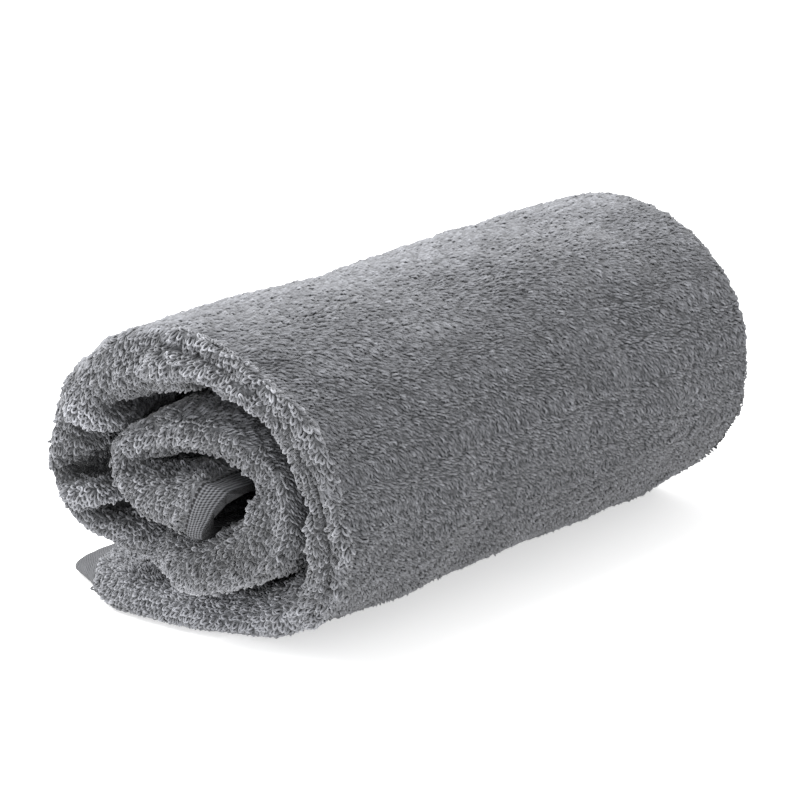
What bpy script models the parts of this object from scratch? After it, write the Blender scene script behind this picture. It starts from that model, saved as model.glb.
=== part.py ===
"""A terry towel folded once along its length, rolled up and lying on its side.

The towel is one piece of cloth. Folding it along its length makes a strip of two
plies, joined by the fold at the near end of the roll (-X) and open at the far end
(+X). The strip is rolled from its inner hem outwards, and its loose outer end lies
flat on the floor as a tongue (+Y). The near fold is drawn in and out from turn to
turn, so the core stands proud of the lower turns at that end.

Lengths are in metres, except in the two tables, which are in millimetres. The
centre line of the strip runs in the Y-Z plane, with +Z up.
"""

from collections import namedtuple
from math import cos, pi, radians, sin

import bmesh
import bpy
import numpy as np

MM = 0.001

COLLECTION_NAME = "rolled_bath_towel"
NODE_NAME = "towel"
TOWEL_GREY = (0.155, 0.158, 0.166, 1.0)
TOWEL_ROUGHNESS = 0.95

# One row for each quarter turn of the centre line, from the loose end inwards.
# The line is level at the bottom and top rows and upright at the side rows.
Quarter = namedtuple("Quarter", "name y z")
QUARTERS = (
    Quarter("right side", -56.0, 59.0),
    Quarter("top", -1.0, 111.2),
    Quarter("left side", 55.2, 66.0),
    Quarter("second bottom", 24.0, 26.8),
    Quarter("second right side", -38.0, 58.0),
    Quarter("core top", -4.0, 83.0),
    Quarter("core left side", 30.5, 66.0),
    Quarter("core bottom", 12.0, 54.5),
)
TONGUE_TIP_Y = 91.5 * MM     # loose outer end, on the floor
TONGUE_ROOT_Y = -6.0 * MM    # where the outer turn leaves the floor
HEM_END_Y = -15.0 * MM       # inner end of the strip, inside the core
HEM_END_Z = 55.0 * MM
HEM_TURN = 33.0              # degrees by which the inner hem is skewed
HEM_TURN_LENGTH = 30.0 * MM  # stretch over which the sections turn with it

# How far the cloth reaches to the outer and inner side of the centre line, how much
# further back the inner side's fold lies, half the gap between the two plies, and the
# reach of the near fold. The place counts quarter turns: 0 is the tongue's tip, 1 the
# bottom, 2 the right side, and so on to 9, the core's bottom, and 10, the inner hem.
Edge = namedtuple("Edge", "place outer inner recess gap near")
EDGES = (
    Edge(0.00, 2.8, 2.8, 0.0, 0.4, -98.0),
    Edge(0.10, 4.2, 4.2, 0.0, 0.4, -102.0),
    Edge(0.26, 6.6, 6.6, 0.0, 0.4, -111.0),
    Edge(0.46, 8.0, 8.0, 0.0, 0.4, -119.5),
    Edge(0.80, 8.3, 8.3, 0.0, 0.4, -114.0),
    Edge(1.00, 8.3, 8.3, 0.0, 0.4, -104.0),
    Edge(1.45, 8.0, 12.2, 4.0, 0.4, -103.0),
    Edge(2.00, 7.5, 8.5, 2.0, 0.4, -117.0),
    Edge(2.50, 7.5, 11.0, 4.0, 0.4, -122.0),
    Edge(3.00, 8.5, 9.0, 0.0, 0.4, -129.0),
    Edge(3.40, 9.0, 9.5, 4.0, 0.4, -134.0),
    Edge(3.66, 9.0, 17.5, 8.0, 0.4, -135.0),
    Edge(3.85, 9.0, 16.0, 14.0, 0.4, -135.0),
    Edge(4.06, 9.0, 9.5, 12.0, 0.4, -135.0),
    Edge(4.24, 9.0, 17.0, 9.0, 0.4, -134.5),
    Edge(4.45, 8.5, 8.0, 6.0, 0.4, -131.0),
    Edge(4.60, 8.5, 8.8, 0.0, 0.4, -124.0),
    Edge(4.80, 8.5, 8.8, 0.0, 0.4, -111.0),
    Edge(4.98, 8.5, 9.6, 0.0, 0.4, -114.0),
    Edge(5.16, 9.0, 12.0, 0.0, 0.4, -125.0),
    Edge(5.60, 9.3, 10.0, 0.0, 0.4, -121.0),
    Edge(6.00, 8.0, 7.5, 0.0, 0.4, -117.0),
    Edge(6.50, 7.0, 7.5, 0.0, 0.4, -116.0),
    Edge(7.00, 9.0, 10.5, 0.0, 0.8, -124.0),
    Edge(7.50, 7.5, 9.0, 0.0, 0.8, -128.5),
    Edge(8.00, 7.0, 6.0, 0.0, 0.5, -131.0),
    Edge(9.00, 9.5, 11.0, 0.0, 3.0, -130.0),
    Edge(9.60, 12.0, 12.5, 0.0, 7.5, -127.0),
    Edge(10.00, 11.5, 12.0, 0.0, 8.5, -125.0),
)
FLOOR_PLACE = 1.0            # up to here the strip lies on the floor
TOP_PLACE = 3.0              # top of the outer turn
CORE_PLACE = 4.6             # where the core's turns begin
FAR_EDGE = 128.5 * MM        # far edges of the outer turn
FAR_RECESS = 1.6 * MM        # how far they draw in with each quarter turn after the top
FAR_INNER = 9.5 * MM         # at the far end the strip's inner side is no thicker than this

SAMPLE_STEP = 1.0 * MM      # distance between samples along the centre line
ARC_SAMPLES = 60            # samples on each quarter turn before they are spaced evenly
SOFTENING_PASSES = 28       # easing of the centre line and of the tabled values
TONGUE_SPACING = 9.0 * MM   # distance between sections along the flat tongue
OUTER_SPACING = 6.5 * MM    # and around the outer turn
CORE_SPACING = 4.5 * MM     # and around the core

FOLD_DEPTH_RATIO = 1.24     # depth of the rounded near fold over half the thickness
FOLD_DEPTH_LIMIT = 11.0 * MM   # most that a fold's rounding is deep
EDGE_ROUNDING = 1.5 * MM    # rounding of each ply's far edge
EDGE_ROUNDING_SHARE = 0.33  # and the most of the ply's thickness that it takes
FOLD_POINTS = 7             # points around the outside of the near fold
SLIT_POINTS = 3             # points around its inside
WIDTH_SHARES = (0.2, 0.4, 0.6, 0.8)   # points across each ply's face
TIGHT_TURN_SHARE = 0.8      # most that the inner half may take of a turn's radius
WIDEST_TURN = 1.0           # radius in metres past which a turn counts as straight
FLAT_HEIGHT = 0.45 * MM     # what comes this close to the floor lies flat on it

CORNER_PULL = 6.0 * MM      # how far the tongue's near corner is drawn back
CORNER_REACH = 15.0 * MM    # how far along the hem that pull fades
CORNER_LENGTH = 30.0 * MM   # and how far back along the tongue


def soften(values):
    """Moving average along the strip that keeps both ends in place."""
    values = values.copy()
    for _ in range(SOFTENING_PASSES):
        values[1:-1] = 0.5 * values[1:-1] + 0.25 * (values[:-2] + values[2:])
    return values


def quarter_turn(start, end, level_start):
    """Points of a quarter ellipse, level at one end and upright at the other."""
    angle = np.linspace(0.0, pi / 2.0, ARC_SAMPLES)
    if level_start:
        y = start[0] + (end[0] - start[0]) * np.sin(angle)
        z = end[1] + (start[1] - end[1]) * np.cos(angle)
    else:
        y = end[0] + (start[0] - end[0]) * np.cos(angle)
        z = start[1] + (end[1] - start[1]) * np.sin(angle)
    return np.stack([y, z], axis=1)


def straight_run(start, end):
    """Points of a straight stretch of the centre line."""
    share = np.linspace(0.0, 1.0, ARC_SAMPLES)[:, None]
    return np.array(start) * (1.0 - share) + np.array(end) * share


def tabled(place, column):
    """A column of the edge table at the given places, in metres."""
    rows = [row.place for row in EDGES]
    return np.interp(place, rows, [getattr(row, column) * MM for row in EDGES])


def centre_path():
    """The centre line from the tongue's tip to the inner hem, with its places."""
    floor_z = float(tabled(FLOOR_PLACE, "outer"))
    corner = (TONGUE_ROOT_Y, floor_z)
    runs = [straight_run((TONGUE_TIP_Y, floor_z), corner)]
    for index, row in enumerate(QUARTERS):
        end = (row.y * MM, row.z * MM)
        runs.append(quarter_turn(corner, end, level_start=index % 2 == 0))
        corner = end
    runs.append(straight_run(corner, (HEM_END_Y, HEM_END_Z)))
    places = [np.linspace(index, index + 1.0, ARC_SAMPLES) for index in range(len(runs))]
    points = np.concatenate([runs[0]] + [run[1:] for run in runs[1:]])
    return points, np.concatenate([places[0]] + [run[1:] for run in places[1:]])


class Strip:
    """Even samples of the rolled strip: centre, outward direction, sizes and distance."""

    def __init__(self):
        points, places = centre_path()
        legs = np.linalg.norm(np.diff(points, axis=0), axis=1)
        travel = np.concatenate([[0.0], np.cumsum(legs)])
        self.distance = np.linspace(0.0, travel[-1], int(round(travel[-1] / SAMPLE_STEP)) + 1)
        self.place = np.interp(self.distance, travel, places)
        self.near = soften(tabled(self.place, "near"))
        self.far = FAR_EDGE - FAR_RECESS * np.maximum(self.place - TOP_PLACE, 0.0)
        self.gap = soften(tabled(self.place, "gap"))
        self.recess = soften(tabled(self.place, "recess"))
        self.outer = soften(tabled(self.place, "outer"))
        y = soften(np.interp(self.distance, travel, points[:, 0]))
        z = soften(np.interp(self.distance, travel, points[:, 1]))
        on_floor = self.place <= FLOOR_PLACE
        z = np.where(on_floor, self.outer, np.maximum(z, self.outer))
        self.centre = np.stack([y, z], axis=1)
        along = np.gradient(self.centre, axis=0)
        along /= np.linalg.norm(along, axis=1)[:, None]
        bend = np.linalg.norm(np.gradient(along, self.distance, axis=0), axis=1)
        room = TIGHT_TURN_SHARE / np.maximum(bend, 1.0 / WIDEST_TURN)
        self.inner = soften(np.minimum(tabled(self.place, "inner"), room))
        self.outward = self.skewed(np.stack([-along[:, 1], along[:, 0]], axis=1))

    def skewed(self, outward):
        """Outward directions, turned steadily towards the inner hem's skewed end."""
        left = self.distance[-1] - self.distance
        angle = radians(HEM_TURN) * np.maximum(0.0, 1.0 - left / HEM_TURN_LENGTH)
        y = outward[:, 0] * np.cos(angle) - outward[:, 1] * np.sin(angle)
        z = outward[:, 0] * np.sin(angle) + outward[:, 1] * np.cos(angle)
        return np.stack([y, z], axis=1)

    def stations(self):
        """Sample numbers of the sections, closer together around the core."""
        chosen = [0]
        last = len(self.distance) - 1
        while chosen[-1] < last:
            place = self.place[chosen[-1]]
            spacing = TONGUE_SPACING if place < FLOOR_PLACE else OUTER_SPACING
            if place > CORE_PLACE:
                spacing = CORE_SPACING
            following = chosen[-1] + int(round(spacing / SAMPLE_STEP))
            chosen.append(following if following < last - 1 else last)
        return chosen


def half_ring(count, tip, outer, inner):
    """Points around a fold: outer and inner are its height and depth on either side."""
    points = []
    for step in range(1, count + 1):
        angle = pi * step / (count + 1)
        height, depth = outer if cos(angle) > 0.0 else inner
        points.append((tip + depth * (1.0 - sin(angle)), height * cos(angle)))
    return points


def face_run(start, far, offset, far_offset):
    """Points across a ply's face, from its fold towards its far edge."""
    shares = (0.0,) + WIDTH_SHARES
    return [
        (start + share * (far - start), offset + share * (far_offset - offset))
        for share in shares
    ]


def section(strip, index):
    """Outline across the folded strip: pairs of a place along X and an outward offset."""
    outer = strip.outer[index]
    inner = strip.inner[index]
    gap = strip.gap[index]
    near = strip.near[index]
    far = strip.far[index]
    outer_depth = min(FOLD_DEPTH_RATIO * outer, FOLD_DEPTH_LIMIT)
    inner_depth = min(FOLD_DEPTH_RATIO * inner, FOLD_DEPTH_LIMIT) + strip.recess[index]
    ply = min(outer, inner) - gap
    slit_tip = near + ply
    slit_depth = FOLD_DEPTH_RATIO * gap
    slit_start = slit_tip + slit_depth
    rounding = min(EDGE_ROUNDING, EDGE_ROUNDING_SHARE * ply)
    far_inner = min(inner, FAR_INNER)
    points = [(far, outer - rounding), (far - rounding, outer)]
    points += reversed(face_run(near + outer_depth, far, outer, outer))
    points += half_ring(FOLD_POINTS, near, (outer, outer_depth), (inner, inner_depth))
    points += face_run(near + inner_depth, far, -inner, -far_inner)
    points += [(far - rounding, -far_inner), (far, -far_inner + rounding)]
    points += [(far, -gap - rounding), (far - rounding, -gap), (slit_start, -gap)]
    points += reversed(half_ring(SLIT_POINTS, slit_tip, (gap, slit_depth), (gap, slit_depth)))
    points += [(slit_start, gap), (far - rounding, gap), (far, gap + rounding)]
    return points


def corner_pull(strip, index, x):
    """How far the tongue's near corner is drawn back, towards the roll."""
    along = max(0.0, 1.0 - strip.distance[index] / CORNER_LENGTH)
    across = np.exp(-(x - strip.near[index]) / CORNER_REACH)
    return CORNER_PULL * along * across


def section_points(strip, index):
    """The section's outline placed in space, flat where it meets the floor."""
    y, z = strip.centre[index]
    out_y, out_z = strip.outward[index]
    points = []
    for x, offset in section(strip, index):
        height = z + offset * out_z
        if height < FLAT_HEIGHT:
            height = 0.0
        points.append((x, y + offset * out_y - corner_pull(strip, index, x), height))
    return points


def loft(mesh_name, rings):
    """Closed mesh over a row of unlike outlines, with both ends filled."""
    bm = bmesh.new()
    loops = [[bm.verts.new(point) for point in ring] for ring in rings]
    for ring, following in zip(loops, loops[1:]):
        for step, corner in enumerate(ring):
            beside = (step + 1) % len(ring)
            bm.faces.new((corner, ring[beside], following[beside], following[step]))
    caps = [bm.faces.new(loops[0]), bm.faces.new(loops[-1])]
    bmesh.ops.triangulate(bm, faces=caps, ngon_method="EAR_CLIP")
    bmesh.ops.recalc_face_normals(bm, faces=bm.faces)
    mesh = bpy.data.meshes.new(mesh_name)
    bm.to_mesh(mesh)
    bm.free()
    return mesh


def centred(rings):
    """The outlines moved so that their box stands with its middle over the origin."""
    points = np.array(rings)
    low = points.min(axis=(0, 1))
    high = points.max(axis=(0, 1))
    middle = (low + high) / 2.0
    middle[2] = low[2]
    return points - middle


def terry_material():
    """Grey cotton pile."""
    material = bpy.data.materials.new("grey_terry")
    material.use_nodes = True
    shader = material.node_tree.nodes["Principled BSDF"]
    shader.inputs["Base Color"].default_value = TOWEL_GREY
    shader.inputs["Roughness"].default_value = TOWEL_ROUGHNESS
    shader.inputs["Metallic"].default_value = 0.0
    material.diffuse_color = TOWEL_GREY
    return material


def build_towel(collection):
    """The rolled towel as one closed body of cloth."""
    strip = Strip()
    rings = centred([section_points(strip, index) for index in strip.stations()])
    mesh = loft(NODE_NAME, rings.tolist())
    mesh.materials.append(terry_material())
    mesh.shade_smooth()
    towel = bpy.data.objects.new(NODE_NAME, mesh)
    collection.objects.link(towel)
    return towel


def clear_scene():
    """Remove the objects that are already in the scene."""
    for item in list(bpy.data.objects):
        bpy.data.objects.remove(item, do_unlink=True)


def main():
    clear_scene()
    collection = bpy.data.collections.new(COLLECTION_NAME)
    bpy.context.scene.collection.children.link(collection)
    build_towel(collection)


main()
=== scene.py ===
"""Looks of the rolled terry towel: its folded skin, its looped pile, hems and studio.

The skin follows the same rolled strip as the solid, a little under its surface, and
the pile's loops fill the space between. Lengths are in metres, except in the tables,
which are in millimetres. A loop's place on the skin is found along rows that run
parallel to the near fold, as the towel's woven rows do.
"""

from collections import namedtuple
from math import cos, pi, radians, sin

import bmesh
import bpy
import numpy as np
from mathutils import Matrix, Vector
from mathutils.bvhtree import BVHTree


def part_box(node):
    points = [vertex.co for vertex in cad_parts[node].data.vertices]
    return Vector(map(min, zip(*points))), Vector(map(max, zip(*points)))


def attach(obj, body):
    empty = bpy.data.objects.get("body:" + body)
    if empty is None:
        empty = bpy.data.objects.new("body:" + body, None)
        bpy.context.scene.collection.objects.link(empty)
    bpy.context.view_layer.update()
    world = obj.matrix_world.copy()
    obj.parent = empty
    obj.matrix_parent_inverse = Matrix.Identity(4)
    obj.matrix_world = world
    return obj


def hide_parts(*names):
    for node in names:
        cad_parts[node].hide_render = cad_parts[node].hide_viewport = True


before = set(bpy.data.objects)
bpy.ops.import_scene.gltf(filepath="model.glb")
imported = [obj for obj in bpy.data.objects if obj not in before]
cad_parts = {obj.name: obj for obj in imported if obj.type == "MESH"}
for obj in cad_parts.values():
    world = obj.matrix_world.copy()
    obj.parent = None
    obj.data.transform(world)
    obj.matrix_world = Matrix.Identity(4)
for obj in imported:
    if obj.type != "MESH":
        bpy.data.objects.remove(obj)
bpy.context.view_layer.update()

MM = 0.001


def table(fields, *rows):
    """Rows of values under those field names."""
    Row = namedtuple("Row", fields)
    return [Row(*row) for row in rows]


# The rolled strip, with the solid's sizes
QUARTERS = table(
    "name y z",
    ("right side", -56.0, 59.0),
    ("top", -1.0, 111.2),
    ("left side", 55.2, 66.0),
    ("second bottom", 24.0, 26.8),
    ("second right side", -38.0, 58.0),
    ("core top", -4.0, 83.0),
    ("core left side", 30.5, 66.0),
    ("core bottom", 12.0, 54.5),
)
TONGUE_TIP_Y = 93.5 * MM
TONGUE_ROOT_Y = -6.0 * MM
HEM_END_Y = -12.0 * MM  # the inner hem reaches on past the solid's end
HEM_END_Z = 53.5 * MM
HEM_TURN = 30.0  # degrees by which its end is skewed
HEM_TURN_LENGTH = 30.0 * MM  # length over which it comes to that

# The strip's sizes at places along it. The tongue runs from place 0 to 1, each quarter
# turn is 1 more, and the inner hem ends at 10. Outer and inner are how far the surface
# lies from the centre line, recess is how much deeper the fold goes on the inner side,
# gap is half the slit between the plies, and near is the X of the fold.
EDGES = table(
    "place outer inner recess gap near",
    (0.00, 2.8, 2.8, 0.0, 0.4, -98.0),
    (0.10, 4.2, 4.2, 0.0, 0.4, -102.0),
    (0.26, 6.6, 6.6, 0.0, 0.4, -109.0),
    (0.46, 8.0, 8.0, 0.0, 0.4, -118.5),
    (0.80, 8.3, 8.3, 0.0, 0.4, -114.0),
    (1.00, 8.3, 8.3, 0.0, 0.4, -104.0),
    (1.45, 8.0, 12.2, 4.0, 0.4, -103.0),
    (2.00, 7.5, 8.5, 2.0, 0.4, -117.0),
    (2.50, 7.5, 11.0, 4.0, 0.4, -122.0),
    (3.00, 8.5, 9.0, 0.0, 0.4, -129.0),
    (3.40, 9.0, 9.5, 4.0, 0.4, -134.0),
    (3.66, 9.0, 17.5, 7.0, 0.4, -135.0),
    (3.85, 9.0, 16.0, 9.0, 0.4, -135.0),
    (4.06, 9.0, 9.5, 9.0, 0.4, -135.0),
    (4.24, 9.0, 17.0, 7.0, 0.4, -134.5),
    (4.45, 8.5, 8.0, 6.0, 0.4, -131.0),
    (4.60, 8.5, 8.8, 0.0, 0.4, -124.0),
    (4.80, 8.5, 8.8, 0.0, 0.4, -111.0),
    (4.98, 8.5, 9.6, 0.0, 0.4, -114.0),
    (5.16, 9.0, 12.0, 0.0, 0.4, -125.0),
    (5.60, 9.3, 10.0, 0.0, 0.4, -121.0),
    (6.00, 8.0, 7.5, 0.0, 0.4, -117.0),
    (6.50, 7.0, 7.5, 0.0, 0.4, -116.0),
    (7.00, 9.0, 10.5, 0.0, 0.8, -124.0),
    (7.50, 7.5, 9.0, 0.0, 0.8, -128.5),
    (8.00, 7.0, 6.0, 0.0, 0.5, -131.0),
    (9.00, 9.5, 11.0, 0.0, 3.0, -130.0),
    (9.60, 12.0, 14.0, 0.0, 7.5, -127.0),
    (10.00, 11.5, 14.0, 0.0, 8.5, -125.0),
)
FLOOR_PLACE = 1.0
TOP_PLACE = 3.0
FAR_EDGE = 131.0 * MM
FAR_RECESS = 1.6 * MM
FAR_INNER = 9.5 * MM

SAMPLE_STEP = 1.0 * MM
ARC_SAMPLES = 60
SOFTENING_PASSES = 28
FOLD_DEPTH_RATIO = 1.24
FOLD_DEPTH_LIMIT = 11.0 * MM
EDGE_ROUNDING = 1.5 * MM
EDGE_ROUNDING_SHARE = 0.33
TIGHT_TURN_SHARE = 0.8
WIDEST_TURN = 1.0
CORNER_PULL = 6.0 * MM
CORNER_REACH = 15.0 * MM
CORNER_LENGTH = 30.0 * MM

# The skin
SKIN_STEP = 3  # samples between the skin's sections
FACE_POINTS = 84  # points across each ply's face
FOLD_POINTS = 15  # points around the outside of the near fold
SLIT_POINTS = 3  # points around its inside
PILE_DEPTH = 1.3 * MM  # the skin lies this far under the pile's tips
HEM_DEPTH = 0.9 * MM  # and this far at the flat woven hems
FLOOR_DEPTH = 0.5 * MM  # and this far where the pile is pressed on the floor
LEAVES_FLOOR = (0.95, 1.3)  # places between which the strip leaves the floor
THIN_PLY = 0.5 * MM  # least thickness of a ply of the skin
TIP_SHIFT = 0.45  # share of the outer half by which the near fold's tip moves out
LEAN_BEGINS = (0.1, 0.3)  # places between which that begins
DEEPER_FOLD = 3.0 * MM  # how much deeper the fold's inner side is there
LEAN_ENDS = (3.0, 3.5)  # places between which both end
HEM_FOLD = 0.28  # share of the fold's depth that is left at the inner hem
HEM_FOLD_PLACES = (9.2, 9.7)  # places between which it comes to that
PROBE_SECTION = 0.2  # share of the sections at which the normals' side is tested
PROBE_POINT = 10  # and the point of that section
TINY = 1e-12  # least length of a direction

# The woven hems
HEM_WIDTH = 9.5 * MM  # width of the inner end's hem
TIP_HEM_WIDTH = 16.5 * MM  # what shows of the loose end's hem
HEM_CORNER = 12.0 * MM  # how much wider it is at the near corner
HEM_SOFTNESS = 1.0 * MM  # half the width over which the skin rises at a hem's border
WOVEN_MARGIN = 1.5 * MM  # how far the woven cloth passes the loose end's hem
INNER_MARGIN = 0.5 * MM  # and the inner end's
PILE_MARGIN = 1.3 * MM  # how far the pile keeps from the loose end's hem
SEAM_INSET = 1.2 * MM  # from a hem's inner border to its line of stitches
SEAM_WIDTH = 1.0 * MM
STITCH_LENGTH = 2.4 * MM
STITCH_CUT = 0.2  # a stitch shows where its wave is over this
RIB_SPACING = 1.3 * MM
THREAD_SPACING = 1.2 * MM
RIB_SHARE = 0.55  # of the woven cloth's height
THREAD_SHARE = 0.45

# The pile
SEED = 20260
CURL_PITCH = 1.84 * MM  # distance between curled loops, and between their rows
COMB_PITCH = 1.40 * MM  # the same for the combed loops further back
JITTER = 0.36  # share of the pitch by which a loop strays
ROW_STARTS = (0.25, 0.75)  # where even and odd rows begin, in shares of the pitch
ROW_STRAY = 0.2  # and the share by which single rows stray from that
SHORTEST_ROW = 4  # least sections that a row crosses
HEADING_STEP = 0.5 * MM  # how far to either side a row's heading is taken
OUTER_REACH = 9.0 * MM  # how far from the near fold the pile is curled on the outer side
INNER_REACH = 24.0 * MM  # and on the inner side
REACH_STRAY = 3.0 * MM  # how far that border strays
REACH_SCALE = 14.0 * MM
REACH_SEED = SEED + 9
MOST_TRIANGLES = 190000  # in one piece of pile
LEAST_HEIGHT = 0.05 * MM  # of yarn above the floor
CLUMP_SCALE = 3.8 * MM  # size of the clumps in which loops stand higher
CLUMP_HEIGHT = 0.45 * MM
CLUMP_PAINTED_LIGHT = 0.14  # and by how much these are lighter, painted light on high clumps and painted shade on low ones
RELIEF_PAINTED_LIGHT = 0.12  # painted light on crests and painted shade in troughs: how much lighter the pile is for each mm of a crease's height
MOST_TONE = 1.6  # the lightest pile, where ordinary loops have about 0.6

# What varies from loop to loop: a size with its least and most share; by how many radians
# single loops and whole patches of them turn aside; a tone with its spread, the share of
# it halfway up a loop, what the height adds, and the darkest. The share halfway up and
# what the height adds are painted shade at the roots and painted light at the tips.
Size = namedtuple("Size", "whole least most")
Drift = namedtuple("Drift", "single patches scale seed")
Tone = namedtuple("Tone", "mean spread middle rise darkest")

# Curled loops, which stand up as rings at the near end
CURL_POINTS = 7  # along a ring
CURL_ANGLES = (-42.0, 222.0)  # degrees at which a ring starts and ends
CURL_CORNERS = ((1.0, 0.0), (0.0, 1.0), (-1.0, 0.0), (0.0, -1.0))  # of the yarn
CURL_TRIANGLES = (CURL_POINTS - 1) * 2 * len(CURL_CORNERS)
CURL_RADIUS = Size(0.46 * MM, 0.85, 1.12)  # of the yarn
CURL_WIDTH = Size(0.58 * MM, 0.75, 1.25)  # half the width of a ring
CURL_HEIGHT = Size(1.28 * MM, 0.7, 1.25)
CURL_SWELL = 0.12  # share by which rings are larger for each mm of relief
CURL_SIZES = (0.75, 1.35)  # least and most that this may come to
CURL_MIDDLE = 0.45  # share of its height at which a ring's middle stands
CURL_RAISE = 0.1 * MM  # and how much further out of the skin
CURL_OPEN = 0.7 * MM  # how far apart a ring's two ends are, sideways
CURL_LEAN = 64.0  # degrees by which rings lean over
CURL_LEANS = 13.0  # and how much that varies
CURL_FORWARD = 0.97  # share of the rings that lean down, not up
CURL_FLAT = 82.0  # degrees by which those lean that lie flat
CURL_FLATTEN = 0.7  # share of the way that they come to it
CURL_OUTER = -1.0 * MM  # arc length from which rings on the outer side lie flat
CURL_OUTER_SHARE = 0.8  # by this share
CURL_LOW = (2.0 * MM, 7.0 * MM)  # heights above the floor between which they do so too
CURL_LOW_SIZE = 0.25  # share by which these are smaller
CURL_DROOP = (0.0, 0.5, -1.0)  # the way they hang
CURL_ASIDE = 0.15  # how much of the way across the rows is in that
CURL_DRIFT = Drift(0.30, 0.35, 13.0 * MM, SEED + 21)
CURL_CLUMP_SEED = SEED + 24
CURL_TONE = Tone(0.62, 0.17, 0.62, 0.54, 0.04)

# Combed loops, which lie over one another as low bows on the rest
COMB_STEPS = ((-1.0, -0.25, 0.0), (-0.1, 1.0, 1.0), (1.0, -0.1, 0.2))  # along, up, aside
COMB_CORNERS = ((-0.5, -0.95), (1.0, 0.0), (-0.5, 0.95))  # of the yarn, open below
COMB_TRIANGLES = (len(COMB_STEPS) - 1) * 2 * (len(COMB_CORNERS) - 1)
COMB_RADIUS = Size(0.40 * MM, 0.8, 1.2)
COMB_WIDTH = Size(1.55 * MM, 0.75, 1.25)  # half the length of a bow
COMB_HEIGHT = Size(0.82 * MM, 0.35, 1.1)
COMB_BOW = Size(0.30 * MM, -1.0, 1.6)  # how far it bends sideways
COMB_LOW = (1.0 * MM, 5.0 * MM)  # heights above the floor between which bows are lower
COMB_LOW_SIZE = 0.5  # by this share
COMB_ANGLE = 43.0  # degrees between the bows and the roll's length on top
COMB_TURN = 12.0  # and how many more there are at its sides
COMB_DRIFT = Drift(0.17, 0.14, 26.0 * MM, SEED + 22)
COMB_CLUMP_SEED = SEED + 23
COMB_TONE = Tone(0.68, 0.15, 0.50, 0.53, 0.05)
COMB_TALL_PAINTED_LIGHT = (0.85, 0.25)  # painted light on tall bows and painted shade on low ones: share of it for no height, and what a whole one adds

# Loops that no outside view reaches, which are left out
RAY_DIRECTIONS = 7  # random ones, besides the normal, the camera's and the ends'
END_RAYS = np.array(((-1.0, 0.0, 0.1), (1.0, 0.0, 0.1)))
RAY_BIAS = 1.05  # how much of the normal is in each random one
RAY_START = 1.2 * MM
RAY_LENGTH = 70.0 * MM
LEAST_FACING = -0.45  # rays turned further back than this aren't tried
DOWNWARD = -0.05  # nor those that go down more steeply than this
LOW_START = 4.0 * MM  # from less than this above the floor
BURIED_DEPTH = 45.0 * MM  # no outside view reaches further in between the turns
LAST_OUTSIDE = 5.3  # the strip's outer side shows up to this place
LAST_TONGUE = 1.15  # and its inner side up to this one

# Creases of the near end
# Soft ridges (height above 0) and troughs (below 0) on lines from one place to another
# as seen from the near end, in the part's own Y and Z; half is their half width.
CREASES = table(
    "y1 z1 y2 z2 half height",
    (36.0, 86.0, 27.0, 84.5, 4.5, 2.6),
    (27.0, 84.5, 13.0, 77.0, 4.5, 4.6),
    (18.0, 86.5, 2.0, 88.0, 3.6, -5.5),
    (-8.0, 97.5, -20.0, 102.5, 3.5, -4.5),
    (30.0, 76.5, 18.0, 74.0, 4.0, -6.0),
    (46.0, 56.0, 20.0, 63.5, 3.8, -8.5),
    (52.0, 51.5, 30.0, 51.5, 4.5, 4.2),
    (30.0, 51.0, 17.0, 50.0, 4.0, 3.0),
    (26.0, 46.0, 8.0, 52.0, 4.0, -7.0),
    (40.0, 39.0, 22.0, 35.0, 5.0, 2.8),
)
# Broad swells: side of the strip (-1 outer, 1 inner), place on it and along the roll.
SWELLS = table(
    "side place spread x reach height",
    (-1, 3.15, 0.35, -110.0, 50.0, 1.6),
    (-1, 3.00, 0.60, 100.0, 55.0, 1.4),
    (-1, 1.45, 0.35, 132.0, 32.0, -2.4),
    (-1, 2.30, 0.60, 84.0, 11.0, 1.5),
    (-1, 2.40, 0.50, 63.0, 9.0, -1.5),
    (-1, 1.75, 0.40, -25.0, 9.0, -1.6),
    (-1, 1.80, 0.45, -46.0, 10.0, 1.1),
    (-1, 2.75, 0.25, 5.0, 26.0, -1.2),
    (-1, 1.30, 0.30, -105.0, 45.0, -2.8),
    (1, 3.10, 0.42, -108.0, 34.0, 6.0),
    (1, 1.50, 0.30, -110.0, 34.0, 4.0),
    (1, 5.95, 0.50, -108.0, 32.0, 9.5),
)
# Patches of lighter or darker pile, painted light and painted shade, as seen from the near
# end in Y and Z; reach is how far back from that end they have faded out.
PAINTED_PATCHES = table(
    "y z half_y half_z reach tone",
    (-10.0, 12.0, 48.0, 11.0, 60.0, 0.90),
    (18.0, 95.0, 9.0, 5.0, 20.0, 0.22),
    (12.0, 90.0, 20.0, 8.0, 30.0, -0.12),
    (8.0, 60.0, 22.0, 14.0, 30.0, 0.05),
    (-33.0, 40.0, 18.0, 10.0, 40.0, -0.22),
    (24.0, 62.0, 14.0, 14.0, 24.0, -0.10),
    (-8.0, 34.0, 20.0, 9.0, 40.0, -0.10),
    (-40.0, 74.0, 12.0, 26.0, 34.0, 0.14),
    (-76.0, 30.0, 16.0, 26.0, 400.0, -0.16),
)
PATCH_FADE = 0.4  # share of that reach at which they begin to
PAINTED_PATCH_SHARE = 1.5  # how much more of the patches' painted light and shade the cloth between the loops takes
CREASE_REACH = 34.0 * MM  # how far back from the near fold the creases fade out
CREASE_FADE = 0.3  # share of that at which they begin to
CREASE_ARCS = (-4.0 * MM, 5.0 * MM)  # arc lengths from the fold's tip over which they rise
SWELL_ARCS = (-2.0 * MM, 7.0 * MM)  # and over which the swells do
FREE_HEIGHTS = (1.0 * MM, 9.0 * MM)  # heights above the floor over which all of them do

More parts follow.
